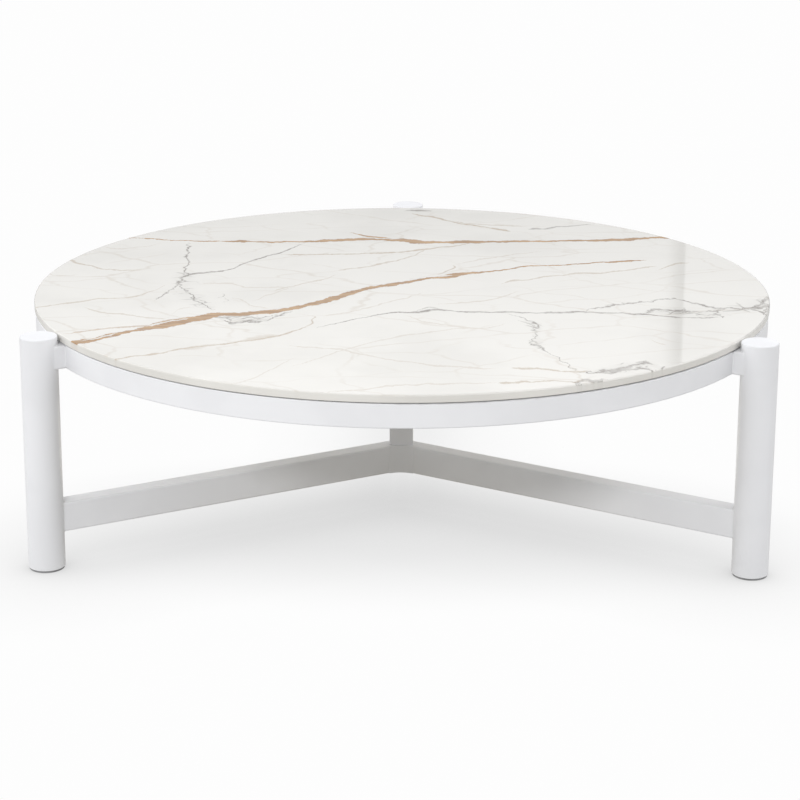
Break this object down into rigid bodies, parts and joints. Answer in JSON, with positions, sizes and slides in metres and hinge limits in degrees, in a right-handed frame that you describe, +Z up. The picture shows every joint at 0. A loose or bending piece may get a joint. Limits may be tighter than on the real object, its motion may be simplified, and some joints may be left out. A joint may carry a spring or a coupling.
{
  "type": "round cocktail table",
  "caption": "Low round table with a thin veined stone disc on a white welded tube frame, round legs outside the ring, a Y stretcher with a centre post, and levelling glides.",
  "frame": {"origin": "on the floor, on the axis of the round top", "axes": "+Z up, front towards -Y, so that the rear leg lies on +Y"},
  "size_m": [1.2198, 1.281, 0.381],
  "materials": {
    "stone": "satin",
    "powder_coat": "satin",
    "silicone": "satin",
    "insert_plastic": "matte",
    "glide_plastic": "matte",
    "zinc_steel": "satin"
  },
  "bodies": {
    "frame": {"stone_top": "stone", "ring_apron": "powder_coat", "centre_post": "powder_coat", "post_base_plate": "powder_coat", "post_head_plate": "powder_coat", "corner_filler": "powder_coat", "ring_pads": "silicone", "centre_pads": "silicone", "leg_front_left": "powder_coat", "leg_cap_front_left": "powder_coat", "stub_front_left": "powder_coat", "rail_front_left": "powder_coat", "spoke_front_left": "powder_coat", "foot_insert_front_left": "insert_plastic", "leg_front_right": "powder_coat", "leg_cap_front_right": "powder_coat", "stub_front_right": "powder_coat", "rail_front_right": "powder_coat", "spoke_front_right": "powder_coat", "foot_insert_front_right": "insert_plastic", "leg_rear": "powder_coat", "leg_cap_rear": "powder_coat", "stub_rear": "powder_coat", "rail_rear": "powder_coat", "spoke_rear": "powder_coat", "foot_insert_rear": "insert_plastic"},
    "glide_front_left": {"glide_front_left": "glide_plastic", "glide_stem_front_left": "zinc_steel"},
    "glide_front_right": {"glide_front_right": "glide_plastic", "glide_stem_front_right": "zinc_steel"},
    "glide_rear": {"glide_rear": "glide_plastic", "glide_stem_rear": "zinc_steel"}
  },
  "joints": [
    {"name": "level_front_left", "type": "slide", "parent": "frame", "child": "glide_front_left", "axis": [0, 0, -1], "range_m": [0, 0.008]},
    {"name": "level_front_right", "type": "slide", "parent": "frame", "child": "glide_front_right", "axis": [0, 0, -1], "range_m": [0, 0.008]},
    {"name": "level_rear", "type": "slide", "parent": "frame", "child": "glide_rear", "axis": [0, 0, -1], "range_m": [0, 0.008]}
  ]
}
